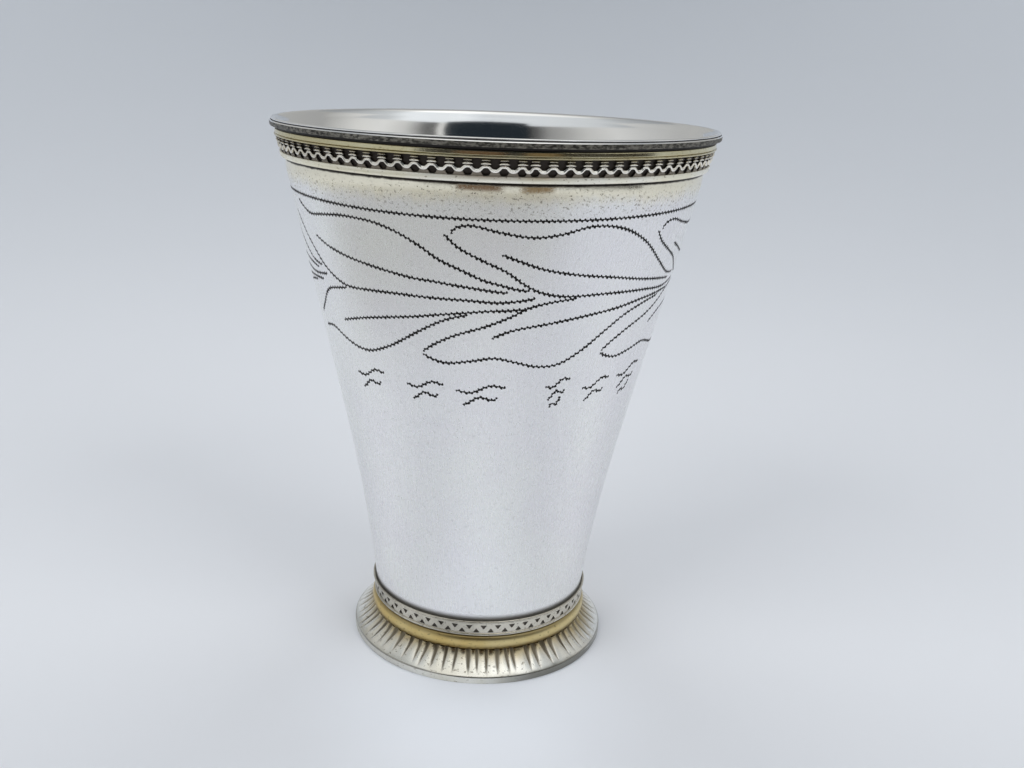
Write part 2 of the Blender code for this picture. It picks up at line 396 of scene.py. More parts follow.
def turned(name, outline, sides, closed=True):
    """A piece turned about Z: a circle, pulled and sized from point to point of (radius, height)."""
    deselect()
    radius, height = outline[0]
    bpy.ops.mesh.primitive_circle_add(vertices=sides, radius=radius, location=(0.0, 0.0, height))
    obj = bpy.context.object
    obj.name = name
    bpy.ops.object.transform_apply(location=True)
    edit_all(obj)
    for next_radius, next_height in list(outline[1:]) + ([outline[0]] if closed else []):
        rise = (0.0, 0.0, next_height - height)
        bpy.ops.mesh.extrude_edges_move(TRANSFORM_OT_translate={"value": rise})
        grow = next_radius / radius
        bpy.ops.transform.resize(value=(grow, grow, 1.0), center_override=(0.0, 0.0, next_height))
        radius, height = next_radius, next_height
    bpy.ops.mesh.select_all(action="SELECT")
    bpy.ops.mesh.remove_doubles(threshold=0.002 * MM)
    if not closed:
        bpy.ops.mesh.fill_holes(sides=0)
    bpy.ops.mesh.select_all(action="SELECT")
    bpy.ops.mesh.normals_make_consistent(inside=False)
    leave_edit()
    return obj


def cut(obj, cutter):
    """Takes the cutter's shape out of the piece and leaves the cutter's material in the cut."""
    activate(obj)
    modifier = obj.modifiers.new("Cut", "BOOLEAN")
    modifier.operation = "DIFFERENCE"
    modifier.solver = "MANIFOLD"
    modifier.object = cutter
    bpy.ops.object.modifier_apply(modifier=modifier.name)
    bpy.data.objects.remove(cutter)


def merge_slivers(obj):
    """Closes up the slivers that the cuts leave."""
    edit_all(obj)
    bpy.ops.mesh.remove_doubles(threshold=0.004 * MM)
    bpy.ops.mesh.dissolve_degenerate(threshold=0.002 * MM)
    leave_edit()


def remove_faces(obj, unwanted):
    """Deletes the faces for which unwanted(face) holds."""
    activate(obj)
    bpy.ops.object.mode_set(mode="EDIT")
    bpy.ops.mesh.select_mode(type="FACE")
    bpy.ops.mesh.select_all(action="DESELECT")
    leave_edit()
    for face in obj.data.polygons:
        face.select = unwanted(face)
    bpy.ops.object.mode_set(mode="EDIT")
    bpy.ops.mesh.delete(type="FACE")
    leave_edit()


def copied_round(shape, turns):
    """Copies of one shape, each turned round the cup by its own degrees, joined into one object."""
    copies = []
    for turn in turns:
        copy = shape.copy()
        copy.data = shape.data.copy()
        copy.data.transform(Matrix.Rotation(math.radians(turn), 4, "Z"))
        bpy.context.collection.objects.link(copy)
        copies.append(copy)
    bpy.data.objects.remove(shape)
    activate(copies[0])
    for copy in copies:
        copy.select_set(True)
    bpy.ops.object.join()
    return bpy.context.object


def engraving_cutter(name, lines, material, seed, closed=False):
    """Wedges that follow the rocked graver along each line, each wedge one closed body."""
    shake = random.Random(seed)
    verts, faces = [], []
    for line in lines:
        steps = max(2, round(line.length / STROKE))
        step = line.length / steps
        stations = []
        for k in range(steps):
            press = shake.uniform(*PRESS)
            for place, side, weight in STEP_STATIONS:
                stations.append(((k + place) * step, side, weight * press))
        if not closed:
            stations.append((line.length, 0.0, LINE_END))
            stations[0] = (0.0, 0.0, LINE_END)
        first = len(verts)
        for distance, side, weight in stations:
            angle, z, (ahead, up) = line.at(distance)
            across = (-up, ahead)
            middle = side * ROCK
            half = weight * CUT_HALF
            verts.append(on_wall(angle, z, middle + half, across, CUT_LIFT))
            verts.append(on_wall(angle, z, middle, across, -weight * CUT_DEPTH))
            verts.append(on_wall(angle, z, middle - half, across, CUT_LIFT))
        count = len(stations)
        for i in range(count if closed else count - 1):
            here = first + 3 * i
            there = first + 3 * ((i + 1) % count)
            for j in range(3):
                k = (j + 1) % 3
                faces.append((here + j, here + k, there + k, there + j))
        if not closed:
            last = first + 3 * (count - 1)
            faces.append((first, first + 2, first + 1))
            faces.append((last, last + 1, last + 2))
    mesh = bpy.data.meshes.new(name)
    mesh.from_pydata(verts, [], faces)
    obj = bpy.data.objects.new(name, mesh)
    bpy.context.collection.objects.link(obj)
    edit_all(obj)
    bpy.ops.mesh.normals_make_consistent(inside=False)
    leave_edit()
    paint(obj, material)
    return obj


# ---------------------------------------------------------------- materials


def new_material(name):
    material = bpy.data.materials.new(name)
    material.use_nodes = True
    tree = material.node_tree
    return material, tree, tree.nodes["Principled BSDF"]


def new_metal(name, metallic=1.0):
    material, tree, shader = new_material(name)
    shader.inputs["Metallic"].default_value = metallic
    return material, tree, shader


def math_node(tree, operation, a, b, clamp=False):
    node = tree.nodes.new("ShaderNodeMath")
    node.operation = operation
    node.use_clamp = clamp
    for socket, value in zip(node.inputs, (a, b)):
        if isinstance(value, bpy.types.NodeSocket):
            tree.links.new(value, socket)
        else:
            socket.default_value = value
    return node.outputs[0]


def times(tree, a, b):
    return math_node(tree, "MULTIPLY", a, b)


def plus(tree, a, b):
    return math_node(tree, "ADD", a, b)


def swing(tree, noise, reach):
    """The noise, moved to lie evenly to both sides of zero and stretched to this reach."""
    return times(tree, math_node(tree, "SUBTRACT", noise, 0.5), reach)


def between(tree, value, low, high):
    """0 below low and 1 above high, or the other way round if low is above high."""
    node = tree.nodes.new("ShaderNodeMapRange")
    node.interpolation_type = "SMOOTHSTEP"
    tree.links.new(value, node.inputs["Value"])
    falling = low > high
    node.inputs["From Min"].default_value = min(low, high)
    node.inputs["From Max"].default_value = max(low, high)
    node.inputs["To Min"].default_value = 1.0 if falling else 0.0
    node.inputs["To Max"].default_value = 0.0 if falling else 1.0
    return node.outputs["Result"]


def mixed(tree, factor, a, b):
    """A colour between a and b."""
    node = tree.nodes.new("ShaderNodeMix")
    node.data_type = "RGBA"
    for socket, value in ((node.inputs[0], factor), (node.inputs[6], a), (node.inputs[7], b)):
        if isinstance(value, bpy.types.NodeSocket):
            tree.links.new(value, socket)
        else:
            socket.default_value = (*value, 1.0)
    return node.outputs[2]


def vector_node(tree, operation, a, b=None):
    """A VectorMath node on a and on b, which is a socket or a fixed vector."""
    node = tree.nodes.new("ShaderNodeVectorMath")
    node.operation = operation
    tree.links.new(a, node.inputs[0])
    if isinstance(b, bpy.types.NodeSocket):
        tree.links.new(b, node.inputs[1])
    elif b is not None:
        node.inputs[1].default_value = b
    return node


def object_place(tree):
    """Where a point lies on the object."""
    return tree.nodes.new("ShaderNodeTexCoord").outputs["Object"]


def axes(tree, place):
    """The x, y and z of a place."""
    split = tree.nodes.new("ShaderNodeSeparateXYZ")
    tree.links.new(place, split.inputs[0])
    return split.outputs["X"], split.outputs["Y"], split.outputs["Z"]


def stretched_noise(tree, place, scale, detail, roughness):
    """Noise with its own scale along each axis, in features a metre."""
    mapping = tree.nodes.new("ShaderNodeMapping")
    mapping.inputs["Scale"].default_value = scale
    tree.links.new(place, mapping.inputs["Vector"])
    noise = tree.nodes.new("ShaderNodeTexNoise")
    noise.inputs["Scale"].default_value = 1.0
    noise.inputs["Detail"].default_value = detail
    noise.inputs["Roughness"].default_value = roughness
    tree.links.new(mapping.outputs["Vector"], noise.inputs["Vector"])
    return noise.outputs["Fac"]


def hand_finish_group():
    """Marks of making and use on metal: brushing, cloudy tone, fine pits, and their height."""
    group = bpy.data.node_groups.new("hand_finish", "ShaderNodeTree")
    face = group.interface
    for name, default in (("Brushing", 1.0), ("Clouding", 1.0), ("Pitting", 0.3)):
        socket = face.new_socket(name=name, in_out="INPUT", socket_type="NodeSocketFloat")
        socket.default_value = default
    for name in ("Streaks", "Clouds", "Pits", "Height"):
        face.new_socket(name=name, in_out="OUTPUT", socket_type="NodeSocketFloat")
    enter = group.nodes.new("NodeGroupInput")
    leave = group.nodes.new("NodeGroupOutput")
    place = object_place(group)
    streaks = stretched_noise(group, place, (2600.0, 2600.0, 90.0), detail=3.0, roughness=0.6)
    clouds = stretched_noise(group, place, (60.0, 60.0, 45.0), detail=4.0, roughness=0.6)
    grains = stretched_noise(group, place, (1500.0, 1500.0, 2300.0), detail=2.0, roughness=0.6)
    streaks = swing(group, streaks, enter.outputs["Brushing"])
    clouds = swing(group, clouds, enter.outputs["Clouding"])
    pits = times(group, between(group, grains, 0.60, 0.72), enter.outputs["Pitting"])
    height = math_node(group, "SUBTRACT", times(group, streaks, 0.5), pits)
    for value, name in ((streaks, "Streaks"), (clouds, "Clouds"), (pits, "Pits"), (height, "Height")):
        group.links.new(value, leave.inputs[name])
    return group


def place_finish(tree, group, brushing, clouding, pitting):
    """Puts the group in a material, and hands back its marks."""
    node = tree.nodes.new("ShaderNodeGroup")
    node.node_tree = group
    node.inputs["Brushing"].default_value = brushing
    node.inputs["Clouding"].default_value = clouding
    node.inputs["Pitting"].default_value = pitting
    return node.outputs


def finish_metal(tree, shader, colour, rough, height, depth, strength):
    """Joins colour, roughness and the marks' height to the shader, the deepest mark of this depth."""
    tree.links.new(colour, shader.inputs["Base Color"])
    tree.links.new(rough, shader.inputs["Roughness"])
    bump = tree.nodes.new("ShaderNodeBump")
    bump.inputs["Strength"].default_value = strength
    bump.inputs["Distance"].default_value = depth
    tree.links.new(height, bump.inputs["Height"])
    tree.links.new(bump.outputs["Normal"], shader.inputs["Normal"])


def wall_silver(finish):
    """The satin outside: gilt under the rim band, worn below that, painted shade (partly tarnish) under
    the rim's lower wire, and painted shade above the foot strip.
    """
    material, tree, shader = new_metal("wall_silver")
    place = object_place(tree)
    z = axes(tree, place)[2]
    marks = place_finish(tree, finish, brushing=1.0, clouding=1.0, pitting=0.25)
    wander = stretched_noise(tree, place, (160.0, 160.0, 60.0), detail=4.0, roughness=0.65)
    ragged = plus(tree, z, swing(tree, wander, 4.0 * MM))
    nibble = stretched_noise(tree, place, (900.0, 900.0, 900.0), detail=3.0, roughness=0.6)
    nibbled = plus(tree, z, swing(tree, nibble, 0.35 * MM))
    fleck_noise = stretched_noise(tree, place, (1900.0, 1900.0, 2600.0), detail=2.0, roughness=0.7)

    gilt = between(tree, ragged, *GILT_ZONE)
    shade_under_wire = between(tree, nibbled, *SHADE_UNDER_WIRE)
    shade_above_strip = times(tree, between(tree, z, *SHADE_ABOVE_STRIP), 0.85)
    worn = times(tree, between(tree, ragged, *WORN_FROM), between(tree, ragged, *WORN_TO))
    flecks = times(tree, between(tree, fleck_noise, 0.575, 0.66), worn)

    colour = mixed(tree, between(tree, marks["Clouds"], -0.2, 0.2), COOL_SILVER, WARM_SILVER)
    colour = mixed(tree, gilt, colour, PALE_GILT)
    colour = mixed(tree, times(tree, flecks, 0.62), colour, WORN_FLECKS)
    colour = mixed(tree, marks["Pits"], colour, WALL_PITS)
    # Painted shade above the foot strip.
    colour = mixed(tree, shade_above_strip, colour, FOOT_STRIP_SHADE)
    # Painted shade, partly tarnish, under the rim's lower wire.
    colour = mixed(tree, shade_under_wire, colour, TARNISH_AND_SHADE)

    rough = plus(tree, times(tree, marks["Streaks"], 0.16), 0.27)
    rough = plus(tree, rough, times(tree, flecks, 0.3))
    smooth = times(tree, between(tree, z, *SMOOTH_BAND), 0.14)
    rough = math_node(tree, "SUBTRACT", rough, smooth)
    dark = math_node(tree, "MAXIMUM", shade_under_wire, shade_above_strip)
    rough = math_node(tree, "ADD", rough, times(tree, dark, 0.3), clamp=True)
    finish_metal(tree, shader, colour, rough, marks["Height"], depth=0.010 * MM, strength=0.5)
    return material


def polished_silver(finish):
    """The inside and the lip, rubbed bright."""
    material, tree, shader = new_metal("inner_silver")
    marks = place_finish(tree, finish, brushing=0.4, clouding=0.7, pitting=0.1)
    colour = mixed(tree, between(tree, marks["Clouds"], -0.25, 0.25), INNER_GREY, SILVER)
    rough = plus(tree, times(tree, marks["Streaks"], 0.08), 0.12)
    finish_metal(tree, shader, colour, rough, marks["Height"], depth=0.006 * MM, strength=0.5)
    return material


def gilding(finish, name, rubbed, deep, clear_heights, roughness):
    """Old fire-gilding, pale where it is rubbed, deeper elsewhere, browner outside its clear heights
    with grime and painted shade.
    """
    material, tree, shader = new_metal(name)
    marks = place_finish(tree, finish, brushing=0.6, clouding=1.0, pitting=0.5)
    z = axes(tree, object_place(tree))[2]
    low, high = clear_heights
    below = between(tree, z, low + 0.7 * MM, low - 0.5 * MM)
    above = between(tree, z, high - 0.5 * MM, high + 0.5 * MM)
    grime_and_shade = math_node(tree, "MAXIMUM", below, above)
    colour = mixed(tree, between(tree, marks["Clouds"], -0.16, 0.18), deep, rubbed)
    # Browner outside the clear heights: grime with painted shade.
    colour = mixed(tree, times(tree, grime_and_shade, 0.6), colour, GILT_GRIME_AND_SHADE)
    colour = mixed(tree, marks["Pits"], colour, GILT_PITS)
    rough = plus(tree, times(tree, marks["Streaks"], 0.12), roughness)
    finish_metal(tree, shader, colour, rough, marks["Height"], depth=0.015 * MM, strength=0.8)
    return material


def worn_silver(finish, name, grey, bright):
    """Silver of the small trims, with greyer tarnish in patches."""
    material, tree, shader = new_metal(name)
    marks = place_finish(tree, finish, brushing=0.5, clouding=1.0, pitting=0.6)
    colour = mixed(tree, between(tree, marks["Clouds"], -0.2, 0.1), grey, bright)
    colour = mixed(tree, marks["Pits"], colour, TRIM_PITS)
    rough = plus(tree, times(tree, marks["Streaks"], 0.15), 0.26)
    finish_metal(tree, shader, colour, rough, marks["Height"], depth=0.015 * MM, strength=0.7)
    return material


def tarnished(finish, name, deep, light, speckle=0.0):
    """The dark that stays in cuts and hollows, speckled where the surface is worn."""
    material, tree, shader = new_metal(name, 0.6)
    marks = place_finish(tree, finish, brushing=0.3, clouding=1.0, pitting=0.6)
    tone = between(tree, marks["Clouds"], -0.25, 0.25)
    if speckle:
        place = object_place(tree)
        grain = stretched_noise(tree, place, (1100.0, 1100.0, 2400.0), detail=3.0, roughness=0.75)
        specks = times(tree, between(tree, grain, 0.40, 0.62), speckle)
        tone = plus(tree, times(tree, tone, 1.0 - speckle), specks)
    colour = mixed(tree, tone, deep, light)
    rough = plus(tree, times(tree, marks["Clouds"], 0.3), 0.5)
    finish_metal(tree, shader, colour, rough, marks["Height"], depth=0.01 * MM, strength=0.6)
    return material


def fluted_silver(finish):
    """Bright ridges with some gilding left high up, brown tarnish down in the flutes, and painted shade
    along the flange's corner and on the flange's right side.
    """
    material, tree, shader = new_metal("fluted_silver")
    marks = place_finish(tree, finish, brushing=0.5, clouding=1.0, pitting=0.6)
    x, _, z = axes(tree, object_place(tree))
    hollow = tree.nodes.new("ShaderNodeAttribute")
    hollow.attribute_name = "hollow"
    hollow = hollow.outputs["Fac"]
    ragged = plus(tree, z, times(tree, marks["Clouds"], 3.0 * MM))
    bright = between(tree, marks["Clouds"], -0.2, 0.1)

    # The flange's corner is a line of painted shade, broken here and there, and painted shade darkens
    # the flange, a little on the left and most on the right.
    corner_shade = times(tree, between(tree, z, 1.12 * MM, 1.26 * MM), between(tree, z, 1.52 * MM, 1.38 * MM))
    corner_shade = times(tree, corner_shade, between(tree, marks["Clouds"], -0.3, 0.05))
    left = times(tree, between(tree, x, -4.0 * MM, -18.0 * MM), 0.3)
    right = times(tree, between(tree, x, -1.0 * MM, 12.0 * MM), 0.95)
    grime_and_shade = math_node(tree, "MAXIMUM", left, right)
    grime_and_shade = times(tree, grime_and_shade, between(tree, ragged, 1.9 * MM, 1.2 * MM))

    colour = mixed(tree, bright, FLUTE_GREY, FLUTE_BRIGHT)
    colour = mixed(tree, between(tree, ragged, 2.2 * MM, 4.9 * MM), colour, FLUTE_GILT)
    colour = mixed(tree, marks["Pits"], colour, FLUTE_PITS)
    deep = mixed(tree, bright, HOLLOW_DEEP, HOLLOW_LIGHT)
    colour = mixed(tree, times(tree, hollow, 0.88), colour, deep)
    colour = mixed(tree, times(tree, corner_shade, 0.7), colour, CORNER_SHADE)
    colour = mixed(tree, grime_and_shade, colour, FLANGE_SHADE)
    rough = plus(tree, times(tree, hollow, 0.25), 0.22)
    finish_metal(tree, shader, colour, rough, marks["Height"], depth=0.03 * MM, strength=0.9)
    return material


# ---------------------------------------------------------------- the cup


def cup_outline():
    """The section of the raised cup: up the outside, over the lip, and down the inside."""
    base = wall_radius(UNDERSIDE)
    floor = UNDERSIDE + BOTTOM
    outside = [(base - CORNER, UNDERSIDE)]
    outside += arc((base - CORNER, UNDERSIDE + CORNER), (CORNER, CORNER), -75, 0, 5)
    outside += [(seat(h), h * MM) for h in WALL_HEIGHTS]
    bend = seat(WALL_HEIGHTS[-1])
    outside += [(bend + grow * MM, h * MM) for grow, h in RIM_BEND]
    outside += [(seat(h), h * MM) for h in UNDER_RIM_HEIGHTS]
    lip = [(LIP_RADIUS - back * MM, h * MM) for back, h in LIP_EDGE]
    lip_middle = (LIP_RADIUS - 2.0 * LIP_ROUND, HEIGHT - LIP_ROUND)
    lip += arc(lip_middle, (LIP_ROUND, LIP_ROUND), 8, 88, 5)
    lip += [(LIP_RADIUS - back * MM, h * MM) for back, h in MOUTH_FLARE]
    inside = [(seat(h) - WALL, h * MM) for h in (*MOUTH_HEIGHTS, *reversed(WALL_HEIGHTS))]
    inner_base = wall_radius(floor + FLOOR_CORNER) - WALL
    inside = [point for point in inside if point[1] > floor + FLOOR_CORNER]
    corner_middle = (inner_base - FLOOR_CORNER, floor + FLOOR_CORNER)
    inside += arc(corner_middle, (FLOOR_CORNER, FLOOR_CORNER), 0, -85, 6)
    inside += [(inner_base - 1.6 * FLOOR_CORNER, floor)]
    return outside + lip + inside


def stroke_lines():
    """The rows of wavering strokes under the frieze."""
    strokes = []
    for centre, width, rise, count in STROKE_GROUPS:
        for k in range(count):
            height = STROKE_HEIGHT + STROKE_LEADING * ((count - 1) / 2 - k)
            points = []
            for i in range(9):
                t = i / 8 - 0.5
                waver = STROKE_WAVER * math.sin(2.0 * math.pi * (1.25 * t + 0.3 * k))
                across = (1.0 - STROKE_SHORTER * k) * width * t
                points.append((centre + across, height + rise * t + waver))
            strokes.append(WallLine(smooth_path(points)))
    return strokes


def engraved_lines():
    """The border line, and the leaves and strokes sorted so that lines cut together never cross."""
    turns = [-180.0 + 2.0 * i for i in range(181)]
    dips = [BORDER_DIP * math.cos(math.radians(turn)) ** 2 for turn in turns]
    border = [WallLine([(turn, BORDER_HEIGHT - dip) for turn, dip in zip(turns, dips)])]
    groups = {"edges": [], "midribs": [], "veins": [], "lobes": []}
    for group, points in LEFT_LEAF:
        groups[group].append(WallLine(smooth_path(points)))
    for upper, lower, reach in LEAF_STARTS:
        middle = (upper + lower) / 2
        for points, start, group in (
            (LEAF_UPPER_EDGE, upper, "edges"),
            (LEAF_LOWER_EDGE, lower, "edges"),
            (LEAF_MIDRIB, upper, "midribs"),
            (LEAF_UPPER_VEIN, middle, "veins"),
            (LEAF_LOWER_VEIN, middle, "veins"),
            (LEAF_LOBE, lower, "lobes"),
        ):
            placed = [(start + reach * angle, height) for angle, height in points]
            groups[group].append(WallLine(smooth_path(placed)))
    return border, [*groups.values(), stroke_lines()]


def cup_metal(face):
    """The slot of the metal that a face of the cup has."""
    x, y, z = face.center
    inwards = face.normal.x * x + face.normal.y * y < 0.0
    inner_floor = face.normal.z > 0.9 and z < 0.5 * HEIGHT
    if SCRIBED_LOW < z < SCRIBED_HIGH and math.hypot(x, y) > SCRIBED_BACK:
        return DARK
    if inner_floor or (inwards and z < MOUTH_TOP) or z > RUBBED_FROM:
        return RUBBED
    # The lip's face: tarnish with painted shade.
    if z > LIP_FACE_FROM:
        return LIP_FACE
    # Painted shade, partly tarnish, in the gap between the lip and the roll.
    return DARK if z > GAP_SHADE_FROM else OUTSIDE


def make_cup(outside, rubbed, dark, lip_face):
    """The raised cup: turned, its finishes laid on, and engraved."""
    cup = turned("cup", cup_outline(), CUP_SIDES, closed=False)
    paint(cup, outside, rubbed, dark, lip_face)
    for face in cup.data.polygons:
        face.material_index = cup_metal(face)
    border, groups = engraved_lines()
    cut(cup, engraving_cutter("border_cutter", border, dark, seed=1, closed=True))
    for number, lines in enumerate(groups):
        cut(cup, engraving_cutter(f"line_cutter_{number}", lines, dark, seed=2 + number))
    merge_slivers(cup)
    settle(cup)
    dress(cup, "cup_body")


# ---------------------------------------------------------------- the rim band and the foot


def ring_trim(name, outline, material, node):
    """A plain turned trim: a moulding or a wire."""
    trim = turned(name, outline, TRIM_SIDES)
    paint(trim, material)
    settle(trim, 40.0)
    dress(trim, node)


def punches(sides, size, place, turns, material, point_down):
    """Round or three-cornered punches that stand into the wall all round it."""
    deselect()
    tip = math.radians(-90.0 if point_down else 90.0)
    radius, z = place
    bpy.ops.mesh.primitive_cylinder_add(
        vertices=sides, radius=0.5, depth=1.0, location=(0.0, -radius, z), rotation=(tip, 0.0, 0.0)
    )
    punch = bpy.context.object
    bpy.ops.object.transform_apply(location=False, rotation=True, scale=False)
    bpy.ops.transform.resize(value=size)
    bpy.ops.object.transform_apply(location=True, rotation=False, scale=True)
    if sides == 3:
        edit_all(punch)
        bpy.ops.mesh.bevel(offset=PUNCH_ROUND, segments=2, affect="EDGES")
        leave_edit()
    paint(punch, material)
    return copied_round(punch, turns)


def pierced_trim(name, outline, metal, hollow, punch_rows, node):
    """A turned trim with hollows punched in it, row by row."""
    trim = turned(name, outline, TRIM_SIDES)
    paint(trim, metal, hollow)
    for sides, size, place, turns, point_down in punch_rows:
        cut(trim, punches(sides, size, place, turns, hollow, point_down))
    settle(trim, 40.0)
    dress(trim, node)


def wave_wire(name, crests, middle, rise, thick, proud, material, node):
    """A wire bent to and fro in a wave that runs right round the wall, through its crests."""
    data = bpy.data.curves.new(name, "CURVE")
    data.dimensions = "3D"
    data.bevel_depth = thick / 2 * MM
    data.bevel_resolution = 1
    data.use_fill_caps = False
    steps = 12
    spline = data.splines.new("POLY")
    spline.points.add(len(crests) * steps - 1)
    for number, crest in enumerate(crests):
        following = crests[number + 1] if number + 1 < len(crests) else crests[0] + 360.0
        for k in range(steps):
            phase = 2.0 * math.pi * k / steps
            turn = math.radians(crest + (following - crest) * k / steps)
            z = middle + rise * (math.cos(phase) - 0.12 * math.cos(3.0 * phase))
            radius = seat(z, proud)
            point = spline.points[number * steps + k]
            point.co = (radius * math.sin(turn), -radius * math.cos(turn), z * MM, 1.0)
            # Drawn thinner over the crests, and a little unevenly from one to the next.
            point.radius = 1.0 + 0.06 * math.sin(2.3 * number) - 0.16 * math.cos(phase)
    spline.use_cyclic_u = True
    wire = bpy.data.objects.new(name, data)
    bpy.context.collection.objects.link(wire)
    activate(wire)
    bpy.ops.object.convert(target="MESH")
    wire = bpy.context.object
    edit_all(wire)
    bpy.ops.mesh.remove_doubles(threshold=0.001 * MM)
    bpy.ops.mesh.normals_make_consistent(inside=False)
    leave_edit()
    wire.data.materials.clear()
    paint(wire, material)
    settle(wire, 50.0)
    dress(wire, node)


def wave_bars(name, crests, height, proud, long, thick, droop, material, node):
    """The short bars over the crests of a wave, thinner and lower towards their ends."""
    deselect()
    bpy.ops.mesh.primitive_cube_add(size=1.0, location=(0.0, -seat(height, proud), height * MM))
    bar = bpy.context.object
    bpy.ops.transform.resize(value=(long * MM, thick * MM * 1.6, thick * MM))
    bpy.ops.object.transform_apply(location=True, rotation=False, scale=True)
    edit_all(bar)
    for share in (-0.28, 0.28):
        bpy.ops.mesh.select_all(action="SELECT")
        bpy.ops.mesh.bisect(plane_co=(share * long * MM, 0.0, 0.0), plane_no=(1.0, 0.0, 0.0))
    leave_edit()
    for vertex in bar.data.vertices:
        reach = abs(vertex.co.x) / (0.5 * long * MM)
        above = vertex.co.z - height * MM
        vertex.co.z = height * MM + above * (1.0 - 0.5 * reach**3) - droop * MM * reach**2
    rounding = bar.modifiers.new("Round", "SUBSURF")
    rounding.levels = rounding.render_levels = 1
    bpy.ops.object.modifier_apply(modifier=rounding.name)
    paint(bar, material)
    bars = copied_round(bar, crests)
    bars.name = name
    settle(bars, 60.0)
    dress(bars, node)


def on_wall_outline(outline):
    """The section of a trim that lies on the wall, from its (proud of the wall, height) points."""
    return [(seat(h, proud), h * MM) for proud, h in outline]


def rim_upper_outline():
    """The roll under the lip, and the fillet below it."""
    face = seat(*ROLL_SEAT)
    fillet = arc((face - 0.12 * MM, RIM_FILLET_HEIGHT * MM), (0.27 * MM, 0.20 * MM), 75, -80, 7)
    roll = [(face + out * MM, h * MM) for out, h in RIM_ROLL]
    return [(seat(98.1, -0.05), 98.12 * MM), *roll, *fillet, (seat(96.95, -0.05), 96.95 * MM)]


def foot_strip_outline():
    """The flat strip over the foot, with a bead along each edge."""
    bead = (STRIP_BEAD, STRIP_BEAD)
    upper = arc((seat(10.64, 0.42), 10.64 * MM), bead, 115, -60, 7)
    lower = arc((seat(7.98, 0.42), 7.98 * MM), bead, 60, -90, 6)
    return [
        (seat(10.6, -0.1), 10.66 * MM), *upper, (seat(10.35, 0.40), 10.36 * MM),
        (seat(8.26, 0.40), 8.26 * MM), *lower, (seat(7.8, -0.1), 7.72 * MM),
    ]


def foot_moulding_outline():
    """The gilt swell between the strip and the skirt."""
    swell = arc((20.85 * MM, 6.2 * MM), (0.65 * MM, 1.38 * MM), 80, -80, 14)
    return [(seat(7.6, 0.05), 7.6 * MM), *swell, (seat(4.8, 0.3), 4.82 * MM), (seat(5.4, 0.1), 5.4 * MM)]


def flute_places(shake):
    """(angle, half width at the top, depth, height of the lower end, lean) of each chased flute."""
    angles = list(FRONT_FLUTES)
    gap = (360.0 + FRONT_FLUTES[0] - FRONT_FLUTES[-1]) / (BACK_FLUTES + 1)
    for k in range(BACK_FLUTES):
        angles.append(FRONT_FLUTES[-1] + gap * (k + 1) + shake.uniform(-BACK_SHIFT, BACK_SHIFT))
    return [(angle, *(shake.uniform(least, most) for least, most in FLUTE_SPANS)) for angle in angles]


def flute_push(angle, radius, z, flutes):
    """How far the flutes push in a point of the skirt, in millimetres, and how dark they leave it."""
    down = (FLUTE_TOP - z) / (FLUTE_TOP - FLUTE_FOOT)
    push, dark = 0.0, 0.0
    for middle, half, depth, end, lean in flutes:
        aside = (angle - middle - lean * down + 180.0) % 360.0 - 180.0
        reach = (z - end) / (FLUTE_TOP - end)
        if abs(aside) > FLUTE_REACH or reach <= 0.0:
            continue
        width = math.degrees((FLUTE_TIP + (half - FLUTE_TIP) * reach**0.8) / radius)
        inside = max(0.0, 1.0 - abs(aside) / width)
        push = max(push, depth * (0.25 + 0.75 * reach) * min(1.0, reach * 5.0) * inside**0.8)
        dark = max(dark, min(1.0, inside * 1.5) * min(1.0, reach * 3.5))
        beside = max(0.0, 1.0 - abs(aside) / DRAWN_HALF)
        push = max(push, DRAWN_IN * reach**0.7 * beside**1.7)
    return push, dark


def make_skirt(material):
    """The flaring skirt: turned, then chased with flutes that narrow towards the flange."""
    outline = [(r * MM, z * MM) for r, z in SKIRT_OUTSIDE + SKIRT_INSIDE]
    skirt = turned("foot_skirt_fluted", outline, SKIRT_SIDES)
    flutes = flute_places(random.Random(11))
    mesh = skirt.data
    tarnish = [0.0] * len(mesh.vertices)
    for vertex in mesh.vertices:
        x, y, z = vertex.co / MM
        radius = math.hypot(x, y)
        if z < FLUTE_FOOT - 0.1 or radius < SKIRT_OUTSIDE[0][0] - 0.05:
            continue
        push, dark = flute_push(math.degrees(math.atan2(x, -y)), radius, z, flutes)
        down = (FLUTE_TOP - z) / (FLUTE_TOP - FLUTE_FOOT)
        shrink = (radius - SINK * push) / radius
        vertex.co.x *= shrink
        vertex.co.y *= shrink
        vertex.co.z -= DROP * push * MM * min(1.0, 3.0 * down)
        tarnish[vertex.index] = dark
    hollow = mesh.attributes.new("hollow", "FLOAT", "POINT")
    hollow.data.foreach_set("value", tarnish)
    paint(skirt, material)
    settle(skirt, 50.0)
    dress(skirt, "foot_skirt")


# ---------------------------------------------------------------- the pieces

finish = hand_finish_group()
roll_gilt = gilding(
    finish, "roll_gilding", rubbed=(0.77, 0.71, 0.48), deep=(0.65, 0.57, 0.33),
    clear_heights=(96.95 * MM, HEIGHT), roughness=0.19,
)
pale_gilt = gilding(
    finish, "pale_gilding", rubbed=(0.96, 0.93, 0.82), deep=(0.90, 0.84, 0.65),
    clear_heights=(0.0, HEIGHT), roughness=0.30,
)
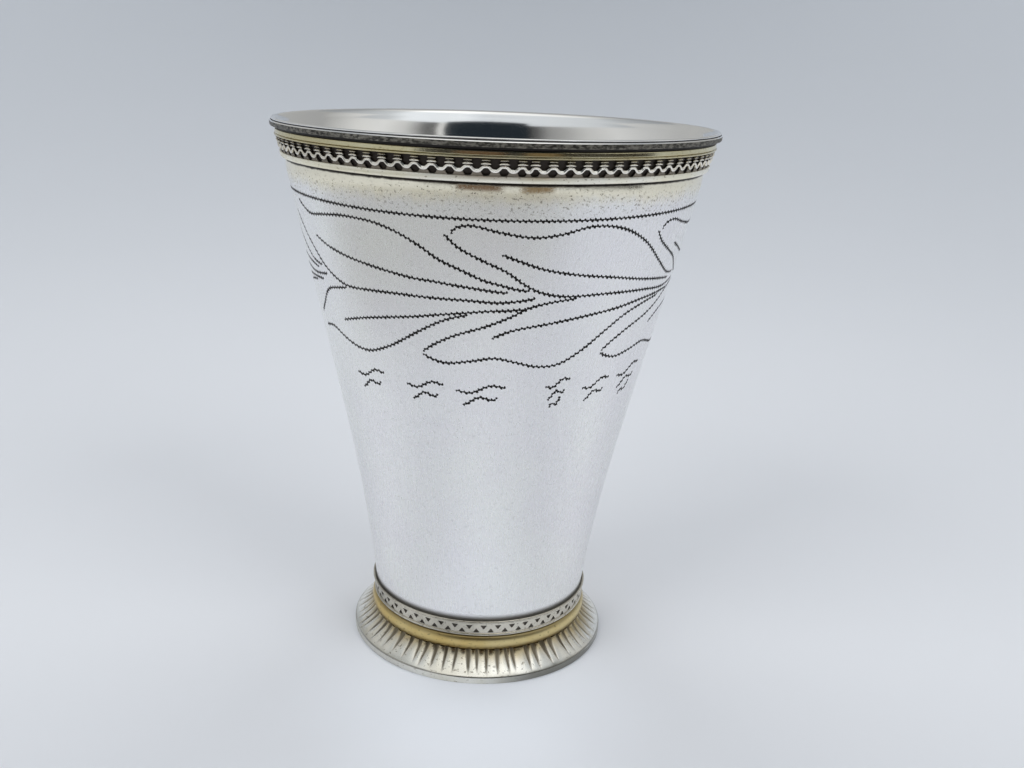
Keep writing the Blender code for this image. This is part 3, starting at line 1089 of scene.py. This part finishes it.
# The foot roll is browner at its top and bottom edges: painted shade with grime.
foot_gilt = gilding(
    finish, "foot_gilding", rubbed=(0.75, 0.63, 0.33), deep=(0.66, 0.49, 0.185),
    clear_heights=(5.60 * MM, 7.15 * MM), roughness=0.36,
)
wave_silver = worn_silver(finish, "worn_silver", grey=(0.64, 0.605, 0.525), bright=(0.97, 0.93, 0.85))
strip_silver = worn_silver(finish, "strip_silver", grey=(0.38, 0.355, 0.295), bright=(0.70, 0.66, 0.57))
bar_silver = worn_silver(finish, "bar_silver", grey=(0.30, 0.27, 0.23), bright=(0.60, 0.565, 0.50))
dark_cut = tarnished(finish, "graver_dark", deep=(0.012, 0.011, 0.010), light=(0.045, 0.040, 0.038))
dark_hollow = tarnished(finish, "hollow_dark", deep=TARNISH_AND_SHADE, light=(0.13, 0.105, 0.08))
strip_hollow = tarnished(finish, "strip_hollow", deep=(0.06, 0.055, 0.045), light=(0.20, 0.18, 0.15))
# The lip's dark face: tarnish with painted shade.
dark_edge = tarnished(
    finish, "lip_edge_dark", deep=(0.02, 0.018, 0.015), light=(0.24, 0.225, 0.19), speckle=0.8
)
old_ledge = tarnished(finish, "ledge_grey", deep=(0.13, 0.11, 0.085), light=(0.32, 0.28, 0.23))

make_cup(wall_silver(finish), polished_silver(finish), dark_cut, dark_edge)
ring_trim("rim_moulding", rim_upper_outline(), roll_gilt, "rim_upper_moulding")
ring_trim("rim_fillet", on_wall_outline(LOWER_WIRE), pale_gilt, "rim_lower_wire")

pocket_rows = []
for first, height, point_down in POCKET_ROWS:
    turns = [first + 360.0 * k / STRIP_POCKETS for k in range(STRIP_POCKETS)]
    pocket_rows.append((3, POCKET, (seat(height, 0.48), height * MM), turns, point_down))
pierced_trim(
    "foot_strip", foot_strip_outline(), strip_silver, strip_hollow, pocket_rows,
    "foot_wave_strip",
)
ring_trim("foot_roll", foot_moulding_outline(), foot_gilt, "foot_moulding")
make_skirt(fluted_silver(finish))

spacing = (360.0 - SEAM_GAP) / (WAVE_COUNT - 1)
crests = [SEAM_CREST - spacing * k for k in range(WAVE_COUNT)][::-1]
wave_wire(
    "rim_wave", crests, middle=95.42, rise=0.35, thick=0.50, proud=0.24,
    material=wave_silver, node="rim_wave_wire",
)
wave_bars(
    "rim_wave_bars", crests, height=96.27, proud=0.24, long=1.7, thick=0.46, droop=0.16,
    material=wave_silver, node="rim_wave_wire",
)
wave_bars(
    "rim_wave_bars_upper", crests, height=96.70, proud=0.22, long=1.45, thick=0.38, droop=0.05,
    material=bar_silver, node="rim_wave_wire",
)
ledge_holes = (14, LEDGE_HOLE, (seat(LEDGE_HOLE_HEIGHT, 0.25), LEDGE_HOLE_HEIGHT * MM), crests, False)
pierced_trim(
    "rim_ledge", on_wall_outline(LEDGE), old_ledge, dark_hollow, [ledge_holes],
    "rim_lower_wire",
)

# ---------------------------------------------------------------- the room

PAPER_NEAR = (0.775, 0.79, 0.82)
# The paper's grey far away is painted shade.
PAPER_FAR_SHADE = (0.46, 0.485, 0.52)
# A painted pool of light on the paper in front of the foot, over the cup's shadow.
PAPER_LIT = (0.91, 0.94, 0.99)
LIT_SPOT = (0.0, -0.028, 0.0)

SWEEP_FLAT = 0.32
SWEEP_RADIUS = 1.30
SWEEP_CURVE = SWEEP_RADIUS - SWEEP_FLAT
SWEEP_TOP = 1.4

# Light and dark round the room at eye height: (degrees round from the front, brightness).
ROOM_TONES = (
    (-180.0, 0.44), (-137.0, 0.47), (-108.0, 0.56), (-84.0, 0.66), (-62.0, 0.55),
    (-45.0, 0.36), (-36.0, 0.30), (-28.0, 0.12), (-21.0, 0.03), (32.5, 0.03),
    (34.0, 0.80), (37.5, 0.80), (39.5, 0.12), (47.0, 0.15), (53.0, 0.36),
    (60.0, 0.58), (77.0, 0.74), (98.0, 0.66), (127.0, 0.38), (180.0, 0.42),
)
# The same for what is higher up: a wide window in front, and a plainer room behind.
UPPER_TONES = (
    (-180.0, 0.42), (-137.0, 0.47), (-96.0, 0.62), (-76.0, 0.84), (-30.0, 0.98), (8.0, 1.0),
    (24.0, 1.22), (40.0, 1.15), (54.0, 1.2), (64.0, 1.2), (78.0, 0.80), (127.0, 0.47), (180.0, 0.42),
)
PLAIN = (1.0, 1.0, 1.0)
WINDOW_LOW_TINT = (0.72, 0.75, 0.79)
WINDOW_HIGH_TINT = (1.04, 1.04, 1.04)
TINT_LOW, TINT_HIGH = 0.68, 0.95  # heights between which one tint gives way to the other
ROOM_RADIUS = 0.5
EYE_LOW, EYE_HIGH = 0.19, 0.46
CEILING = ((0.5, 0.9), (0.42, 1.1), (0.25, 1.22), (0.02, 1.25))

# Cards seen only in the metal: name, (from, to) across, (from, to) in height, distance in front, colour.
CARDS = (
    ("dark_card", (-0.105, 0.172), (0.05, 0.345), 0.25, (0.015, 0.0215, 0.028)),
    ("brown_card", (-0.0345, 0.0075), (0.061, 0.102), 0.12, (0.135, 0.092, 0.068)),
    ("tan_card", (0.0265, 0.061), (0.057, 0.102), 0.12, (0.20, 0.155, 0.105)),
)
LOW_DARK = ((0.31, 0.022), (0.31, 0.135))
LOW_DARK_SPAN = (-36.0, 78.0)
LOW_DARK_COLOUR = (0.045, 0.042, 0.040)
SHADE_COLOUR = (0.43, 0.435, 0.42)
SHADE_WAY = (-0.5, -0.87, 0.0)  # where the floor's darker part lies

# Lamps: (degrees round from the front, power).
LAMPS = ((-50.0, 4.65), (50.0, 4.2), (140.0, 3.1), (-140.0, 3.1))
LAMP_BACK, LAMP_HEIGHT, LAMP_SIZE = 0.95, 0.72, 0.7
LAMP_COLOUR = (1.0, 0.995, 0.985)
LAMP_AIM = Vector((0.0, 0.0, 0.03))
SKY_COLOUR = (0.82, 0.87, 0.92, 1.0)
SKY_STRENGTH = 0.46


def paper():
    """Pale paper, with a painted pool of light in front of the foot, and painted shade that greys it far
    away.
    """
    material, tree, shader = new_material("paper")
    place = object_place(tree)
    away = vector_node(tree, "LENGTH", place).outputs["Value"]
    # Painted shade, growing with distance from the cup.
    far = math_node(tree, "POWER", between(tree, away, 0.10, 1.1), 0.6)
    colour = mixed(tree, far, PAPER_NEAR, PAPER_FAR_SHADE)
    # Painted light in front of the foot.
    from_spot = vector_node(tree, "DISTANCE", place, LIT_SPOT).outputs["Value"]
    colour = mixed(tree, between(tree, from_spot, 0.040, 0.002), colour, PAPER_LIT)
    tree.links.new(colour, shader.inputs["Base Color"])
    shader.inputs["Roughness"].default_value = 0.9
    shader.inputs["Specular IOR Level"].default_value = 0.1
    return material


def unlit(name, colour=(0.0, 0.0, 0.0)):
    """A black surface that gives out light of its own."""
    material, tree, shader = new_material(name)
    shader.inputs["Base Color"].default_value = (0.0, 0.0, 0.0, 1.0)
    shader.inputs["Specular IOR Level"].default_value = 0.0
    shader.inputs["Emission Color"].default_value = (*colour, 1.0)
    shader.inputs["Emission Strength"].default_value = 1.0
    return material, tree, shader


def room_light(name, stops, low_tint=PLAIN, high_tint=PLAIN):
    """Light that changes round the room and with height, for the rings that stand for its walls."""
    material, tree, shader = unlit(name)
    x, y, z = axes(tree, object_place(tree))
    turn = math_node(tree, "ARCTAN2", x, times(tree, y, -1.0))
    ramp = tree.nodes.new("ShaderNodeValToRGB")
    tones = ramp.color_ramp
    for number, (degrees, tone) in enumerate(stops):
        place = 0.5 + degrees / 360.0
        stop = tones.elements[number] if number < 2 else tones.elements.new(place)
        stop.position = place
        stop.color = (tone, tone * 1.01, tone * 0.99, 1.0)
    share = math_node(tree, "DIVIDE", turn, 2.0 * math.pi)
    tree.links.new(plus(tree, share, 0.5), ramp.inputs["Fac"])
    tint = mixed(tree, between(tree, z, TINT_LOW, TINT_HIGH), low_tint, high_tint)
    both = vector_node(tree, "MULTIPLY", ramp.outputs["Color"], tint)
    tree.links.new(both.outputs["Vector"], shader.inputs["Emission Color"])
    return material


def shaded_floor():
    """The floor's darker part in front, seen only in the metal."""
    material, tree, shader = unlit("shaded_floor", SHADE_COLOUR)
    place = object_place(tree)
    away = vector_node(tree, "LENGTH", place).outputs["Value"]
    ahead = vector_node(tree, "DOT_PRODUCT", place, SHADE_WAY).outputs["Value"]
    fade = times(tree, between(tree, away, 0.09, 0.17), 0.9)
    fade = times(tree, fade, between(tree, away, 0.31, 0.22))
    fade = times(tree, fade, between(tree, ahead, 0.02, 0.13))
    tree.links.new(fade, shader.inputs["Alpha"])
    return material


def stage_piece(obj, material, reflections_only=True):
    """Finishes a part of the room, which shows in the metal alone unless it is said otherwise."""
    paint(obj, material)
    settle(obj, 60.0)
    if reflections_only:
        obj.visible_camera = False
        obj.visible_shadow = False
        obj.visible_diffuse = False
        obj.visible_transmission = False


def open_sheet(name, outline, sides, lowest_lid=0.0):
    """A turned sheet with nothing over its ends, but for one that lies below the lowest lid."""
    sheet = turned(name, outline, sides, closed=False)
    remove_faces(sheet, lambda face: len(face.vertices) > 4 and face.center.z >= lowest_lid)
    return sheet


def standing_card(name, across, heights, back, colour):
    """A card that stands in front of the object."""
    deselect()
    middle = (sum(across) / 2, -back, sum(heights) / 2)
    bpy.ops.mesh.primitive_plane_add(size=1.0, location=middle, rotation=(math.radians(90.0), 0.0, 0.0))
    card = bpy.context.object
    card.name = name
    bpy.ops.transform.resize(value=(across[1] - across[0], 1.0, heights[1] - heights[0]))
    stage_piece(card, unlit(name, colour)[0])


def soft_lamp(name, place, power):
    """A square lamp aimed at the cup, which the metal does not mirror."""
    lamp = bpy.data.lights.new(name, "AREA")
    lamp.shape = "SQUARE"
    lamp.size = LAMP_SIZE
    lamp.energy = power
    lamp.color = LAMP_COLOUR
    obj = bpy.data.objects.new(name, lamp)
    bpy.context.collection.objects.link(obj)
    obj.location = place
    obj.rotation_euler = (LAMP_AIM - Vector(place)).to_track_quat("-Z", "Y").to_euler()
    obj.visible_glossy = False


sweep_outline = [(0.02, 0.0), (0.16, 0.0), (SWEEP_FLAT, 0.0)]
for a in range(6, 91, 6):
    out, up = math.sin(math.radians(a)), 1.0 - math.cos(math.radians(a))
    sweep_outline.append((SWEEP_FLAT + SWEEP_CURVE * out, 0.9 * SWEEP_CURVE * up))
sweep_outline.append((SWEEP_RADIUS, SWEEP_TOP))
sweep = open_sheet("paper_sweep", sweep_outline, 96, lowest_lid=0.01)
stage_piece(sweep, paper(), reflections_only=False)

eye_outline = [(ROOM_RADIUS, EYE_LOW), (ROOM_RADIUS, EYE_HIGH)]
stage_piece(open_sheet("room_ring", eye_outline, 128), room_light("room_light", ROOM_TONES))
upper_light = room_light("upper_light", UPPER_TONES, WINDOW_LOW_TINT, WINDOW_HIGH_TINT)
stage_piece(open_sheet("upper_ring", [(ROOM_RADIUS, EYE_HIGH), *CEILING], 128), upper_light)
for card in CARDS:
    standing_card(*card)


def outside_span(face):
    """Whether a face of the low dark shape lies beyond either of its ends."""
    turn = math.degrees(math.atan2(face.center.x, -face.center.y))
    return not LOW_DARK_SPAN[0] < turn < LOW_DARK_SPAN[1]


# A low dark shape round the front right, which the upright edges of the rim mirror.
low_dark = open_sheet("low_dark", LOW_DARK, 72)
remove_faces(low_dark, outside_span)
stage_piece(low_dark, unlit("low_dark", LOW_DARK_COLOUR)[0])
stage_piece(open_sheet("floor_shade", [(0.08, 0.001), (0.45, 0.001)], 96), shaded_floor())

world = bpy.data.worlds.new("studio")
bpy.context.scene.world = world
world.use_nodes = True
sky = world.node_tree.nodes["Background"]
sky.inputs["Color"].default_value = SKY_COLOUR
sky.inputs["Strength"].default_value = SKY_STRENGTH

for number, (turn, power) in enumerate(LAMPS):
    x, y = math.sin(math.radians(turn)), -math.cos(math.radians(turn))
    soft_lamp(f"soft_lamp_{number}", (LAMP_BACK * x, LAMP_BACK * y, LAMP_HEIGHT), power)

bpy.context.scene.view_settings.view_transform = "Standard"

# ---------------------------------------------------------------- the camera

CAMERA_BACK = 0.19631
CAMERA_HEIGHT = 0.11121
CAMERA_DIP = math.radians(17.188)
CAMERA_TURN = math.radians(-0.226)
CAMERA_TILT = math.radians(2.114)
CAMERA_LENS = 37.27
CAMERA_SHIFT = 0.0294

forward = math.cos(CAMERA_DIP)
ahead = Vector((
    math.sin(CAMERA_TURN) * forward, math.cos(CAMERA_TURN) * forward, -math.sin(CAMERA_DIP)
))
level = Vector((math.cos(CAMERA_TURN), -math.sin(CAMERA_TURN), 0.0))
upright = level.cross(ahead)
right = math.cos(CAMERA_TILT) * level + math.sin(CAMERA_TILT) * upright
upward = -math.sin(CAMERA_TILT) * level + math.cos(CAMERA_TILT) * upright
camera_data = bpy.data.cameras.new("camera")
camera_data.lens = CAMERA_LENS
camera_data.sensor_width = 36.0
camera_data.shift_x = CAMERA_SHIFT
camera_data.clip_start = 0.01
camera = bpy.data.objects.new("camera", camera_data)
bpy.context.collection.objects.link(camera)
turned_to = Matrix((right, upward, -ahead)).transposed().to_4x4()
camera.matrix_world = Matrix.Translation((0.0, -CAMERA_BACK, CAMERA_HEIGHT)) @ turned_to
bpy.context.scene.camera = camera
